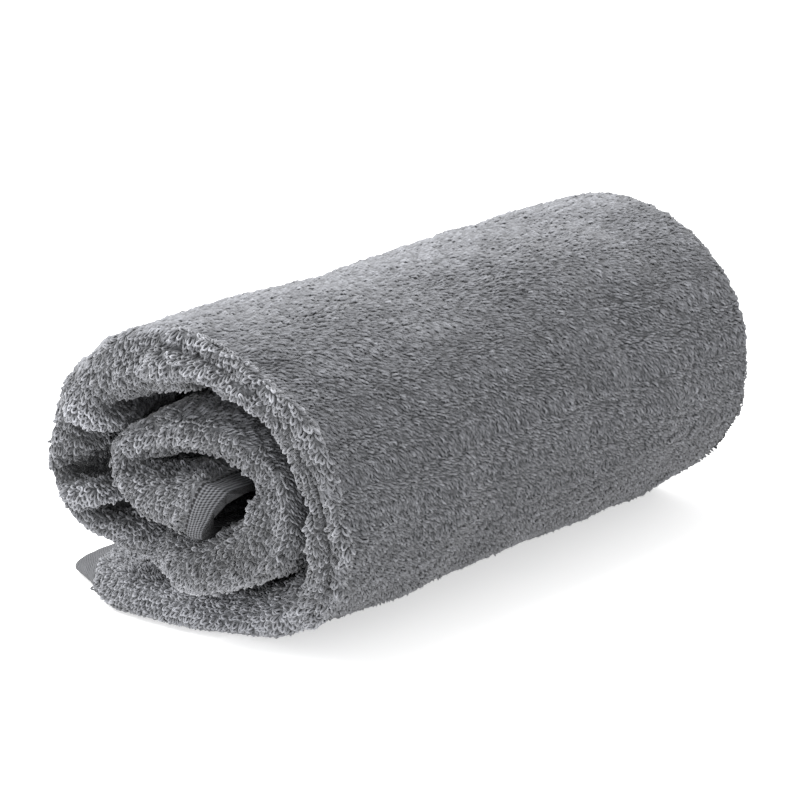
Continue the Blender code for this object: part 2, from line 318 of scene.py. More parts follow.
# Ropes of pile along the near fold: arc length from the fold's tip towards the inner
# side, half width and height; they run between two places of the strip.
ROPES = table(
    "arc half height first last",
    (-4.4, 2.2, 3.2, 1.15, 3.20),
    (-0.4, 1.6, -3.0, 1.15, 3.20),
    (3.6, 2.1, 3.2, 1.15, 3.30),
    (8.8, 3.6, -3.0, 1.45, 3.05),
    (1.0, 4.0, 1.8, 0.60, 1.60),
    (0.5, 2.6, 1.2, 3.30, 4.30),
    (-4.0, 2.4, 1.6, 5.20, 6.60),
    (2.5, 2.8, -2.0, 5.30, 6.50),
    (1.5, 3.0, 2.0, 6.80, 8.60),
    (7.0, 3.0, -2.2, 6.80, 8.40),
)
ROPE_FADE = 0.25  # quarter turns over which a rope begins and ends
WANDER = 1.1 * MM  # how far a rope strays from its line
STRAYS = ((1.0, 17.0 * MM, 1.7), (0.6, 7.1 * MM, 2.9))  # share, length, turn between ropes
UNEVEN = (  # wavelength, height on the back, height at the near end
    (70.0 * MM, 0.9 * MM, 0.5 * MM),
    (24.0 * MM, 0.35 * MM, 0.8 * MM),
    (9.0 * MM, 0.15 * MM, 0.45 * MM),
)
FRONT_FADE = (5.0 * MM, 30.0 * MM)  # from the near fold, where that height fades
WAVES = 24  # that soft noise is made of
WAVE_SPREAD = (0.6, 1.4)  # least and most of their frequency, as shares
WAVE_HEIGHT = 0.7

# Materials
TOWEL_GREY = (0.145, 0.148, 0.159, 1.0)
HEM_GREY = (0.075, 0.077, 0.083, 1.0)
# the cloth between the loops, darkened as painted shade deep in the pile
SHADED_GROUND_GREY = (0.09, 0.092, 0.099, 1.0)
WHITE = (1.0, 1.0, 1.0, 1.0)
Finish = namedtuple("Finish", "name colour roughness sheen")
YARN = Finish("terry_loops", TOWEL_GREY, 0.92, 0.25)
GROUND = Finish("terry_ground_shaded", SHADED_GROUND_GREY, 0.95, 0.15)
WOVEN = Finish("terry_hem", HEM_GREY, 0.9, 0.05)
FLOOR = Finish("pale_floor", (0.72, 0.72, 0.72, 1.0), 0.7, 0.0)
SHEEN_ROUGHNESS = 0.6
SPECULAR = 0.2
# Colours for a low and a high value of what drives them
Ramp = namedtuple("Ramp", "low high low_colour high_colour")
YARN_RAMP = Ramp(0.0, 1.0, (0.026, 0.027, 0.029, 1.0), (0.351, 0.358, 0.386, 1.0))
YARN_WEAR = Ramp(0.3, 0.7, (0.84, 0.84, 0.84, 1.0), (1.04, 1.04, 1.04, 1.0))
# the ground darker away from its cells' middles: painted shade in the hollows between its bumps
GROUND_RAMP = Ramp(0.1, 0.75, (0.125, 0.128, 0.137, 1.0), (0.055, 0.057, 0.061, 1.0))
# the hems lighter on ribs and darker in grooves and on the sunken stitches: the weave's pattern with
# painted shade
WOVEN_RAMP = Ramp(0.15, 0.85, (0.012, 0.0125, 0.0135, 1.0), (0.150, 0.153, 0.165, 1.0))
WOVEN_WEAR = Ramp(0.3, 0.7, (0.82, 0.82, 0.82, 1.0), WHITE)
Bump = namedtuple("Bump", "strength distance")
YARN_BUMP = Bump(0.5, 0.25 * MM)
GROUND_BUMP = Bump(0.9, -0.8 * MM)
WOVEN_BUMP = Bump(0.9, 0.4 * MM)
Noise = namedtuple("Noise", "scale detail")  # the scale is in waves to a metre
YARN_PATCHES = Noise(48.0, 2.0)
YARN_TWIST = Noise(2600.0, 1.0)
WOVEN_PATCHES = Noise(260.0, 2.0)
CELLS = 620.0  # bumps to a metre of the cloth between the loops

# Camera, light and floor
CAMERA_PLACE = (-0.89503, -0.79827, 0.45247)
CAMERA_RIGHT = (0.66131, -0.75011, 0.0)
CAMERA_UP = (0.23180, 0.20436, 0.95106)
CAMERA_AHEAD = (0.71340, 0.62894, -0.30902)
LENS = 148.05
SENSOR = 36.0
FLOOR_HALF = 6.0
FLOOR_GLOW = 0.56
SKY_STRENGTH = 1.0
LIGHTS = table(
    "name place target size power",
    ("key", (-0.35, 0.55, 1.3), (0.0, 0.0, 0.05), 1.2, 44.0),
    ("fill", (-1.1, 0.0, 0.16), (-0.1, 0.0, 0.02), 0.4, 3.0),
)


# Sampling the strip
def soften(values):
    """Moving average along the strip that keeps both ends in place."""
    values = values.copy()
    for _ in range(SOFTENING_PASSES):
        values[1:-1] = 0.5 * values[1:-1] + 0.25 * (values[:-2] + values[2:])
    return values


def quarter_turn(start, end, level_start):
    """Points of a quarter ellipse, level at one end and upright at the other."""
    angle = np.linspace(0.0, pi / 2.0, ARC_SAMPLES)
    if level_start:
        y = start[0] + (end[0] - start[0]) * np.sin(angle)
        z = end[1] + (start[1] - end[1]) * np.cos(angle)
    else:
        y = end[0] + (start[0] - end[0]) * np.cos(angle)
        z = start[1] + (end[1] - start[1]) * np.sin(angle)
    return np.stack([y, z], axis=1)


def straight_run(start, end):
    """Points of a straight stretch of the centre line."""
    share = np.linspace(0.0, 1.0, ARC_SAMPLES)[:, None]
    return np.array(start) * (1.0 - share) + np.array(end) * share


def tabled(place, column):
    """A column of the edge table at the given places, in metres."""
    rows = [row.place for row in EDGES]
    return np.interp(place, rows, [getattr(row, column) * MM for row in EDGES])


def centre_path():
    """The centre line from the tongue's tip to the inner hem, with its places."""
    floor_z = float(tabled(FLOOR_PLACE, "outer"))
    corner = (TONGUE_ROOT_Y, floor_z)
    runs = [straight_run((TONGUE_TIP_Y, floor_z), corner)]
    for index, row in enumerate(QUARTERS):
        end = (row.y * MM, row.z * MM)
        runs.append(quarter_turn(corner, end, level_start=index % 2 == 0))
        corner = end
    runs.append(straight_run(corner, (HEM_END_Y, HEM_END_Z)))
    places = [np.linspace(index, index + 1.0, ARC_SAMPLES) for index in range(len(runs))]
    points = np.concatenate([runs[0]] + [run[1:] for run in runs[1:]])
    return points, np.concatenate([places[0]] + [run[1:] for run in places[1:]])


def travelled(points):
    """Length along each row of points, 0 at its first."""
    legs = np.linalg.norm(np.diff(points, axis=-2), axis=-1)
    return np.concatenate([np.zeros_like(legs[..., :1]), np.cumsum(legs, axis=-1)], axis=-1)


def smoothstep(value, low, high):
    """0 below low, 1 above high, and a soft ramp between."""
    share = np.clip((value - low) / (high - low), 0.0, 1.0)
    return share * share * (3.0 - 2.0 * share)


class Strip:
    """Even samples of the rolled strip: centre, outward direction, sizes and distance."""

    def __init__(self):
        points, places = centre_path()
        travel = travelled(points)
        self.distance = np.linspace(0.0, travel[-1], int(round(travel[-1] / SAMPLE_STEP)) + 1)
        self.place = np.interp(self.distance, travel, places)
        self.near = soften(tabled(self.place, "near"))
        self.far = FAR_EDGE - FAR_RECESS * np.maximum(self.place - TOP_PLACE, 0.0)
        self.gap = soften(tabled(self.place, "gap"))
        self.recess = soften(tabled(self.place, "recess"))
        self.outer = soften(tabled(self.place, "outer"))
        y = soften(np.interp(self.distance, travel, points[:, 0]))
        z = soften(np.interp(self.distance, travel, points[:, 1]))
        on_floor = self.place <= FLOOR_PLACE
        z = np.where(on_floor, self.outer, np.maximum(z, self.outer))
        self.centre = np.stack([y, z], axis=1)
        along = np.gradient(self.centre, axis=0)
        along /= np.linalg.norm(along, axis=1)[:, None]
        bend = np.linalg.norm(np.gradient(along, self.distance, axis=0), axis=1)
        room = TIGHT_TURN_SHARE / np.maximum(bend, 1.0 / WIDEST_TURN)
        self.inner = soften(np.minimum(tabled(self.place, "inner"), room))
        self.outward = self.skewed(np.stack([-along[:, 1], along[:, 0]], axis=1))
        self.length = self.distance[-1]

    def skewed(self, outward):
        """Outward directions, turned steadily towards the inner hem's skewed end."""
        left = self.distance[-1] - self.distance
        angle = radians(HEM_TURN) * np.maximum(0.0, 1.0 - left / HEM_TURN_LENGTH)
        y = outward[:, 0] * np.cos(angle) - outward[:, 1] * np.sin(angle)
        z = outward[:, 0] * np.sin(angle) + outward[:, 1] * np.cos(angle)
        return np.stack([y, z], axis=1)


def depths(strip, index):
    """How far the skin lies under the outer and the inner side of the solid."""
    distance = strip.distance[index]
    start = strip.length - HEM_WIDTH
    tip = 1.0 - smoothstep(distance, TIP_HEM_WIDTH - HEM_SOFTNESS, TIP_HEM_WIDTH + HEM_SOFTNESS)
    end = smoothstep(distance, start - HEM_SOFTNESS, start + HEM_SOFTNESS)
    depth = PILE_DEPTH + (HEM_DEPTH - PILE_DEPTH) * max(tip, end)
    pressed = 1.0 - smoothstep(strip.place[index], *LEAVES_FLOOR)
    return depth + (FLOOR_DEPTH - depth) * pressed, depth


def half_ring(count, tip, outer, inner):
    """Points around a fold: outer and inner are its height and depth on either side."""
    points = []
    for step in range(1, count + 1):
        angle = pi * step / (count + 1)
        height, depth = outer if cos(angle) > 0.0 else inner
        points.append((tip + depth * (1.0 - sin(angle)), height * cos(angle)))
    return points


def face_run(start, far, offset, far_offset):
    """Points across a ply's face, from its fold towards its far edge."""
    return [
        (start + share * (far - start), offset + share * (far_offset - offset))
        for share in np.linspace(0.0, 1.0, FACE_POINTS, endpoint=False)
    ]


def fold_depths(strip, index, in_depth, leaning):
    """How far from its tip the near fold reaches on its outer and on its inner side."""
    outer, inner = (
        min(FOLD_DEPTH_RATIO * half, FOLD_DEPTH_LIMIT) - in_depth
        for half in (strip.outer[index], strip.inner[index])
    )
    inner += strip.recess[index]
    inner += DEEPER_FOLD * leaning
    flat = 1.0 - (1.0 - HEM_FOLD) * smoothstep(strip.place[index], *HEM_FOLD_PLACES)
    return outer * flat, inner * flat


def section(strip, index):
    """The skin's outline across the strip: the sides that carry pile, then the slit."""
    out_depth, in_depth = depths(strip, index)
    gap = strip.gap[index]
    outer = max(strip.outer[index] - out_depth, gap + THIN_PLY)
    inner = max(strip.inner[index] - in_depth, gap + THIN_PLY)
    near = strip.near[index] + in_depth
    far = strip.far[index] - in_depth
    leaning = 1.0 - smoothstep(strip.place[index], *LEAN_ENDS)
    outer_depth, inner_depth = fold_depths(strip, index, in_depth, leaning)
    shift = TIP_SHIFT * outer * leaning * smoothstep(strip.place[index], *LEAN_BEGINS)
    ply = min(outer, inner) - gap
    slit_tip = near + ply
    slit_depth = FOLD_DEPTH_RATIO * gap
    slit_start = slit_tip + slit_depth
    rounding = min(EDGE_ROUNDING, EDGE_ROUNDING_SHARE * ply)
    far_inner = max(min(inner, FAR_INNER - in_depth), gap + THIN_PLY)
    shown = [(far, gap + rounding), (far, outer - rounding), (far - rounding, outer)]
    shown += reversed(face_run(near + outer_depth, far - 2.0 * rounding, outer, outer))
    sides = (outer - shift, outer_depth), (inner + shift, inner_depth)
    shown += [(x, offset + shift) for x, offset in half_ring(FOLD_POINTS, near, *sides)]
    shown += face_run(near + inner_depth, far - 2.0 * rounding, -inner, -far_inner)
    shown += [(far - rounding, -far_inner), (far, -far_inner + rounding), (far, -gap - rounding)]
    hidden = [(far - rounding, -gap), (slit_start, -gap)]
    hidden += reversed(half_ring(SLIT_POINTS, slit_tip, (gap, slit_depth), (gap, slit_depth)))
    hidden += [(slit_start, gap), (far - rounding, gap)]
    return shown, hidden


def corner_pull(strip, index, x):
    """How far the tongue's near corner is drawn back, towards the roll."""
    along = max(0.0, 1.0 - strip.distance[index] / CORNER_LENGTH)
    across = np.exp(-(x - strip.near[index]) / CORNER_REACH)
    return CORNER_PULL * along * across


def placed(strip, index, outline):
    """Points of an outline in space, none of them under the floor."""
    y, z = strip.centre[index]
    out_y, out_z = strip.outward[index]
    return [
        (x, y + offset * out_y - corner_pull(strip, index, x), max(z + offset * out_z, 0.0))
        for x, offset in outline
    ]


def skin_grids(strip, indices):
    """The shown and the hidden points of every section, over the CAD's own place."""
    shown, hidden = [], []
    for index in indices:
        seen, unseen = section(strip, index)
        shown.append(placed(strip, index, seen))
        hidden.append(placed(strip, index, unseen))
    shown, hidden = np.array(shown), np.array(hidden)
    low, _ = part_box("towel")
    shift = np.array(low) + PILE_DEPTH - shown.min(axis=(0, 1))
    shift[2] = 0.0
    return shown + shift, hidden + shift


def unit(vectors):
    """The vectors at length 1."""
    return vectors / np.maximum(np.linalg.norm(vectors, axis=-1, keepdims=True), TINY)


def grid_normals(grid):
    """Outward normals of a grid whose second axis goes round the outline."""
    along = np.gradient(grid, axis=0)
    across = np.gradient(grid, axis=1)
    return unit(np.cross(along, across))


def wave_noise(points, seed, scale):
    """Soft noise between about -1 and 1: a sum of waves in random directions."""
    draw = np.random.default_rng(seed)
    total = np.zeros(points.shape[:-1])
    for _ in range(WAVES):
        direction = draw.normal(size=3)
        direction *= draw.uniform(*WAVE_SPREAD) * 2.0 * pi / scale / np.linalg.norm(direction)
        total += np.sin(points @ direction + draw.uniform(0.0, 2.0 * pi))
    return total / np.sqrt(WAVES / 2.0) * WAVE_HEIGHT


def quad_mesh(name, points, faces):
    """A mesh from arrays of points and of four-cornered faces."""
    mesh = bpy.data.meshes.new(name)
    corners = faces.shape[1]
    mesh.vertices.add(len(points))
    mesh.vertices.foreach_set("co", np.ascontiguousarray(points, np.float32).ravel())
    mesh.loops.add(faces.size)
    mesh.loops.foreach_set("vertex_index", np.ascontiguousarray(faces, np.int32).ravel())
    mesh.polygons.add(len(faces))
    mesh.polygons.foreach_set("loop_start", np.arange(0, faces.size, corners, dtype=np.int32))
    mesh.update(calc_edges=True)
    mesh.shade_smooth()
    return mesh


def new_object(name, data):
    """An object in the scene."""
    made = bpy.data.objects.new(name, data)
    bpy.context.scene.collection.objects.link(made)
    return made


def link(name, mesh, material):
    """An object of that mesh, riding on the root body and with that material."""
    mesh.materials.append(material)
    piece = new_object(name, mesh)
    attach(piece, "root")
    return piece


def number(mesh, name, values):
    """Stores a number for each point, which its material reads."""
    layer = mesh.attributes.new(name, "FLOAT", "POINT")
    layer.data.foreach_set("value", np.ascontiguousarray(values, np.float32))


# Making the materials
def set_inputs(node, values):
    """Sets a node's inputs to values, or links sockets to them."""
    for name, value in values.items():
        if isinstance(value, bpy.types.NodeSocket):
            node.id_data.links.new(value, node.inputs[name])
        else:
            node.inputs[name].default_value = value
    return node


def shader_material(finish):
    """A material of that finish, with its tree and its shader."""
    material = bpy.data.materials.new(finish.name)
    material.use_nodes = True
    material.diffuse_color = finish.colour
    shader = set_inputs(material.node_tree.nodes["Principled BSDF"], {
        "Base Color": finish.colour, "Roughness": finish.roughness,
        "Sheen Weight": finish.sheen, "Sheen Roughness": SHEEN_ROUGHNESS,
        "Specular IOR Level": SPECULAR,
    })
    return material, material.node_tree, shader


def own_number(tree, name):
    """A number stored on the mesh."""
    node = tree.nodes.new("ShaderNodeAttribute")
    node.attribute_name = name
    return node.outputs["Fac"]


def texture(tree, kind, values):
    """A texture node in the object's own space."""
    space = tree.nodes.new("ShaderNodeTexCoord").outputs["Object"]
    return set_inputs(tree.nodes.new(kind), {"Vector": space, **values})


def noise_node(tree, noise):
    """A noise texture's value."""
    values = {"Scale": noise.scale, "Detail": noise.detail}
    return texture(tree, "ShaderNodeTexNoise", values).outputs["Fac"]


def ramp_node(tree, source, ramp):
    """The colour that a ramp gives for the source."""
    node = set_inputs(tree.nodes.new("ShaderNodeValToRGB"), {"Fac": source})
    first, last = node.color_ramp.elements
    first.position, last.position = ramp.low, ramp.high
    first.color, last.color = ramp.low_colour, ramp.high_colour
    return node.outputs["Color"]


def bump_node(tree, source, bump, shader):
    """A bump on the shader's normal."""
    values = {"Strength": bump.strength, "Distance": bump.distance, "Height": source}
    node = set_inputs(tree.nodes.new("ShaderNodeBump"), values)
    set_inputs(shader, {"Normal": node.outputs["Normal"]})


def times(tree, first, second):
    """Two colours multiplied: a mix node's inputs 6 and 7, and its output 2."""
    node = tree.nodes.new("ShaderNodeMix")
    node.data_type = "RGBA"
    node.blend_type = "MULTIPLY"
    return set_inputs(node, {"Factor": 1.0, 6: first, 7: second}).outputs[2]


def maths(tree, operation, *values):
    """One sum of numbers, sockets or plain values."""
    node = tree.nodes.new("ShaderNodeMath")
    node.operation = operation
    return set_inputs(node, dict(enumerate(values))).outputs[0]


def wave(tree, source, spacing):
    """A wave from 0 to 1 with that spacing."""
    turned = maths(tree, "MULTIPLY", source, 2.0 * pi / spacing)
    swing = maths(tree, "SINE", turned)
    return maths(tree, "ADD", maths(tree, "MULTIPLY", swing, 0.5), 0.5)


def paint(tree, shader, base, shade):
    """Gives the shader a colour, multiplied by a shade."""
    set_inputs(shader, {"Base Color": times(tree, base, shade)})


def yarn_material():
    """Cotton loops: each of its own tone with painted light and shade in it, darker at the roots as
    painted shade, a little worn in patches.
    """
    material, tree, shader = shader_material(YARN)
    base = ramp_node(tree, own_number(tree, "tone"), YARN_RAMP)
    paint(tree, shader, base, ramp_node(tree, noise_node(tree, YARN_PATCHES), YARN_WEAR))
    bump_node(tree, noise_node(tree, YARN_TWIST), YARN_BUMP, shader)
    return material


def ground_material():
    """The cloth between the loops: dark, as painted shade deep in the pile, with the bumps of the
    loops' lower halves, darker between them as painted shade, and with the patches' painted light
    and shade.
    """
    material, tree, shader = shader_material(GROUND)
    cells = texture(tree, "ShaderNodeTexVoronoi", {"Scale": CELLS}).outputs["Distance"]
    base = ramp_node(tree, cells, GROUND_RAMP)
    # the patches' painted light and shade, which the cloth between the loops takes more strongly
    patch = maths(tree, "MULTIPLY", own_number(tree, "patch"), PAINTED_PATCH_SHARE)
    paint(tree, shader, base, maths(tree, "ADD", patch, 1.0))
    bump_node(tree, cells, GROUND_BUMP, shader)
    return material


def seam(tree, length):
    """1 on the stitches that hold the hems, 0 beside them."""
    along = own_number(tree, "along")
    lines = []
    for place in (TIP_HEM_WIDTH - SEAM_INSET, length - HEM_WIDTH + SEAM_INSET):
        away = maths(tree, "ABSOLUTE", maths(tree, "SUBTRACT", along, place))
        lines.append(maths(tree, "LESS_THAN", away, SEAM_WIDTH / 2.0))
    stitches = wave(tree, own_number(tree, "across"), STITCH_LENGTH)
    stitched = maths(tree, "GREATER_THAN", stitches, STITCH_CUT)
    return maths(tree, "MULTIPLY", maths(tree, "ADD", lines[0], lines[1]), stitched)


def woven_material(length):
    """The flat hems: ribs along the hem, crossed by fine threads, and a line of stitches, darker
    where lower: the weave's pattern with painted shade in its grooves and on the stitches.
    """
    material, tree, shader = shader_material(WOVEN)
    ribs = wave(tree, own_number(tree, "along"), RIB_SPACING)
    threads = wave(tree, own_number(tree, "across"), THREAD_SPACING)
    ribs = maths(tree, "MULTIPLY", ribs, RIB_SHARE)
    threads = maths(tree, "MULTIPLY", threads, THREAD_SHARE)
    height = maths(tree, "SUBTRACT", maths(tree, "ADD", ribs, threads), seam(tree, length))
    base = ramp_node(tree, height, WOVEN_RAMP)
    paint(tree, shader, base, ramp_node(tree, noise_node(tree, WOVEN_PATCHES), WOVEN_WEAR))
    bump_node(tree, height, WOVEN_BUMP, shader)
    return material


# The skin's mesh
def place_creases(points, backness):
    """Heights of the listed creases, for points seen from the near end."""
    height = np.zeros(points.shape[:-1])
    for crease in CREASES:
        start = np.array([crease.y1, crease.z1]) * MM
        reach = np.array([crease.y2, crease.z2]) * MM - start
        beside = points[..., 1:] - start
        share = np.clip((beside @ reach) / (reach @ reach), 0.0, 1.0)
        away = np.linalg.norm(beside - share[..., None] * reach, axis=-1)
        height += crease.height * MM * np.exp(-(away / (crease.half * MM)) ** 2)
    return height * (1.0 - smoothstep(backness, CREASE_FADE * CREASE_REACH, CREASE_REACH))


def place_ropes(arc, place, distance):
    """Heights of the ropes of pile that follow the near fold."""
    height = np.zeros(arc.shape)
    for index, rope in enumerate(ROPES):
        begun = smoothstep(place, rope.first, rope.first + ROPE_FADE)
        ended = 1.0 - smoothstep(place, rope.last - ROPE_FADE, rope.last)
        stray = sum(
            share * WANDER * np.sin(distance / length + turn * index)
            for share, length, turn in STRAYS
        )
        away = (arc - (rope.arc * MM + stray)[:, None]) / (rope.half * MM)
        height += (begun * ended * rope.height * MM)[:, None] * np.exp(-away ** 2)
    return height


def place_swells(x, arcs, place):
    """Heights of the broad swells of either side."""
    height = np.zeros(x.shape)
    for swell in SWELLS:
        away = ((place - swell.place) / swell.spread)[:, None] ** 2
        away = away + ((x / MM - swell.x) / swell.reach) ** 2
        reached = smoothstep(swell.side * arcs, *SWELL_ARCS)
        height += swell.height * MM * np.exp(-away) * reached
    return height


def arc_lengths(grid):
    """Arc length round each section, 0 at the near fold's tip."""
    lengths = travelled(grid)
    tip = grid.shape[1] // 2
    return lengths - lengths[:, tip:tip + 1]


def creased(strip, indices, grid, normals):
    """The skin with its creases, ropes and soft unevenness, and how high the first two are."""
    near = strip.near[indices][:, None] + (grid[..., 0].min() - strip.near.min())
    backness = grid[..., 0] - near
    arcs = arc_lengths(grid)
    height = place_creases(grid, backness) * smoothstep(arcs, *CREASE_ARCS)
    height += place_ropes(arcs, strip.place[indices], strip.distance[indices])
    relief = height.copy()
    height += place_swells(grid[..., 0], arcs, strip.place[indices])
    front = 1.0 - smoothstep(backness, *FRONT_FADE)
    for seed, (scale, back_height, front_height) in enumerate(UNEVEN):
        swing = wave_noise(grid, SEED + seed, scale)
        height += swing * (back_height + (front_height - back_height) * front)
    free = smoothstep(grid[..., 2], *FREE_HEIGHTS)
    moved = grid + normals * (height * free)[..., None]
    moved[..., 2] = np.maximum(moved[..., 2], 0.0)
    return moved, relief


def outward_normals(strip, indices, grid):
    """Normals of the skin's grid that point out of the cloth."""
    normals = grid_normals(grid)
    row = int(len(indices) * PROBE_SECTION)
    out = strip.outward[indices[row]]
    if normals[row, PROBE_POINT, 1:] @ out < 0.0:
        return -normals
    return normals


def loft_faces(rows, columns):
    """Faces of a tube of rows of points, closed round the outline, with row caps open."""
    row = np.arange(rows - 1)[:, None] * columns
    step = np.arange(columns)[None, :]
    beside = (step + 1) % columns
    return np.stack(
        [row + step, row + columns + step, row + columns + beside, row + beside], axis=-1
    ).reshape(-1, 4)


def slit_partner(step, seen):
    """Which of the slit's points, from the outer ply's edge on, lies behind a shown one."""
    corner = (seen - FOLD_POINTS - 2 * FACE_POINTS) // 2
    fold = step - corner - FACE_POINTS
    if step < corner:
        return 0
    if fold < 0:
        return 1
    if fold < FOLD_POINTS:
        return 1 + (fold * (SLIT_POINTS + 1) + FOLD_POINTS // 2) // FOLD_POINTS
    return SLIT_POINTS + 2 if step < seen - corner else SLIT_POINTS + 3


def cap_faces(first, seen, unseen):
    """Triangles between a section's shown points and the slit's points behind them."""
    faces = []
    last = first + seen + unseen - 1
    for step in range(seen - 1):
        behind = last - slit_partner(step, seen)
        ahead = last - slit_partner(step + 1, seen)
        faces.append((first + step, first + step + 1, behind))
        for partner in range(behind, ahead, -1):
            faces.append((first + step + 1, partner - 1, partner))
    return faces


def close_ends(mesh, rows, seen, unseen):
    """Fills the skin's first and last section."""
    bm = bmesh.new()
    bm.from_mesh(mesh)
    bm.verts.ensure_lookup_table()
    for first in (0, (rows - 1) * (seen + unseen)):
        for corners in cap_faces(first, seen, unseen):
            bm.faces.new([bm.verts[corner] for corner in corners])
    bmesh.ops.recalc_face_normals(bm, faces=bm.faces)
    bm.to_mesh(mesh)
    bm.free()


def hem_distance(strip, distance, x):
    """Distance from the loose end, less what its hem gains at the near corner."""
    near = np.interp(distance, strip.distance, strip.near) + x_shift(strip)
    corner = np.exp(-np.abs(x - near) / CORNER_REACH) * HEM_CORNER
    return distance - corner * (distance < strip.length / 2.0)


def x_shift(strip):
    """How far the skin was moved along the roll to lie over the solid."""
    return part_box("towel")[0][0] - strip.near.min()


def skin_mesh(strip, shown, hidden, distances):
    """The folded cloth as one closed two-ply body, woven flat at its two hems."""
    rings = np.concatenate([shown, hidden], axis=1)
    rows, columns = rings.shape[:2]
    mesh = quad_mesh("skin", rings.reshape(-1, 3), loft_faces(rows, columns))
    close_ends(mesh, rows, shown.shape[1], hidden.shape[1])
    mesh.shade_smooth()
    across = travelled(rings)
    along = hem_distance(strip, np.repeat(distances[:, None], columns, axis=1), rings[..., 0])
    number(mesh, "along", along.ravel())
    number(mesh, "across", across.ravel())
    # the patches' painted light and shade, for the cloth between the loops
    number(mesh, "patch", painted_patch_tones(rings.reshape(-1, 3)))
    start = strip.length - HEM_WIDTH
    hem = (along < TIP_HEM_WIDTH + WOVEN_MARGIN) | (along > start - INNER_MARGIN)
    hem = hem.ravel()
    for face in mesh.polygons:
        face.material_index = int(all(hem[corner] for corner in face.vertices))
    return mesh


# Where the loops stand
# Columns of a loop's facts: its point, the skin's normal, relief, heading, distance, arc
POINT, NORMAL, RELIEF, HEADING, DISTANCE, ARC = (
    slice(0, 3), slice(3, 6), 6, slice(7, 10), 10, 11
)
FACTS = 12


def pile_rows(facts, pitch):
    """The grid's facts on rows that run parallel to the near fold, one pitch apart."""
    lengths = arc_lengths(facts[..., :3])
    lowest = int(np.floor(lengths[:, 0].min() / pitch))
    highest = int(np.ceil(lengths[:, -1].max() / pitch))
    marks = np.arange(lowest, highest + 1) * pitch
    rows = np.full((len(marks), len(facts), facts.shape[2]), np.nan)
    for index, section_facts in enumerate(facts):
        inside = (marks > lengths[index, 0]) & (marks < lengths[index, -1])
        for column in range(facts.shape[2]):
            rows[inside, index, column] = np.interp(
                marks[inside], lengths[index], section_facts[:, column]
            )
    return rows, marks


def row_spots(row, distances, mark, pitch, offset, draw):
    """Loops along one unbroken run of a row, with all their facts."""
    travel = travelled(row[:, POINT])
    count = int(travel[-1] / pitch)
    if count < 1:
        return np.zeros((0, FACTS))
    spots = (np.arange(count) + offset) * pitch
    spots += draw.uniform(-JITTER, JITTER, count) * pitch
    spots = np.clip(spots, 0.0, travel[-1])
    columns = [np.interp(spots, travel, column) for column in row.T]
    ahead = np.clip(spots + HEADING_STEP, 0.0, travel[-1])
    behind = np.clip(spots - HEADING_STEP, 0.0, travel[-1])
    columns += [
        np.interp(ahead, travel, along) - np.interp(behind, travel, along)
        for along in row[:, POINT].T
    ]
    columns += [np.interp(spots, travel, distances), np.full(count, mark)]
    return np.stack(columns, axis=1)


def loop_places(rows, marks, distances, pitch, draw):
    """The facts of all loops that stand on the rows."""
    found = []
    shifts = draw.uniform(-ROW_STRAY, ROW_STRAY, len(marks))
    for order, (row, mark) in enumerate(zip(rows, marks)):
        offset = ROW_STARTS[order % 2] + shifts[order]
        good = np.flatnonzero(~np.isnan(row[:, 0]))
        for run in np.split(good, np.flatnonzero(np.diff(good) > 1) + 1):
            if len(run) >= SHORTEST_ROW:
                found.append(row_spots(row[run], distances[run], mark, pitch, offset, draw))
    return np.concatenate(found)


def buried(strip, spots, near):
    """Which loops lie between the turns, too deep to be seen from either end."""
    place = np.interp(spots[:, DISTANCE], strip.distance, strip.place)
    inner = spots[:, ARC] > 0.0
    outside = np.where(inner, place < LAST_TONGUE, place < LAST_OUTSIDE)
    deep = (spots[:, 0] - near > BURIED_DEPTH) & (FAR_EDGE - spots[:, 0] > BURIED_DEPTH)
    return deep & ~outside


def leaves(tree, start, ray, normal):
    """Whether a ray gets out: it isn't turned back or into the floor, and meets no cloth."""
    ray = ray / max(np.linalg.norm(ray), TINY)
    if ray @ normal < LEAST_FACING:
        return False
    if ray[2] < DOWNWARD and start[2] < LOW_START:
        return False
    return tree.ray_cast(Vector(start), Vector(ray), RAY_LENGTH)[0] is None


def exposed(points, normals, tree, draw):
    """Which loops can be seen from outside: some ray from them must leave the roll."""
    fixed = unit(draw.normal(size=(RAY_DIRECTIONS, 3)))
    camera = np.array(CAMERA_PLACE)
    seen = np.zeros(len(points), bool)
    for index, normal in enumerate(normals):
        start = points[index] + normal * RAY_START
        rays = [camera - start, *END_RAYS, normal]
        rays += [normal * RAY_BIAS + one for one in fixed]
        seen[index] = any(leaves(tree, start, ray, normal) for ray in rays)
    return seen


def find_loops(strip, facts, distances, tree, draw, pitch, curled):
    """Facts of the loops that show, near the fold or further back."""
    rows, marks = pile_rows(facts, pitch)
    spots = loop_places(rows, marks, distances, pitch, draw)
    along = hem_distance(strip, spots[:, DISTANCE], spots[:, 0])
    woven = (along < TIP_HEM_WIDTH + PILE_MARGIN) | (along > strip.length - HEM_WIDTH)
    spots = spots[~woven]
    near = np.interp(spots[:, DISTANCE], strip.distance, strip.near)
    near += facts[..., 0].min() - strip.near.min()
    edge = np.where(spots[:, ARC] < 0.0, OUTER_REACH, INNER_REACH)
    edge = edge + REACH_STRAY * wave_noise(spots[:, POINT], REACH_SEED, REACH_SCALE)
    kept = ((spots[:, 0] - near < edge) == curled) & ~buried(strip, spots, near)
    spots = spots[kept]
    seen = exposed(spots[:, POINT], unit(spots[:, NORMAL]), tree, draw)
    return spots[seen]


# The loops' shapes
def frames(spots):
    """Points, normals, headings of the rows and directions across them."""
    points, normals = spots[:, POINT], unit(spots[:, NORMAL])
    heading = unit(spots[:, HEADING])
    across = unit(np.cross(normals, heading))
    return points, normals, np.cross(across, normals), across


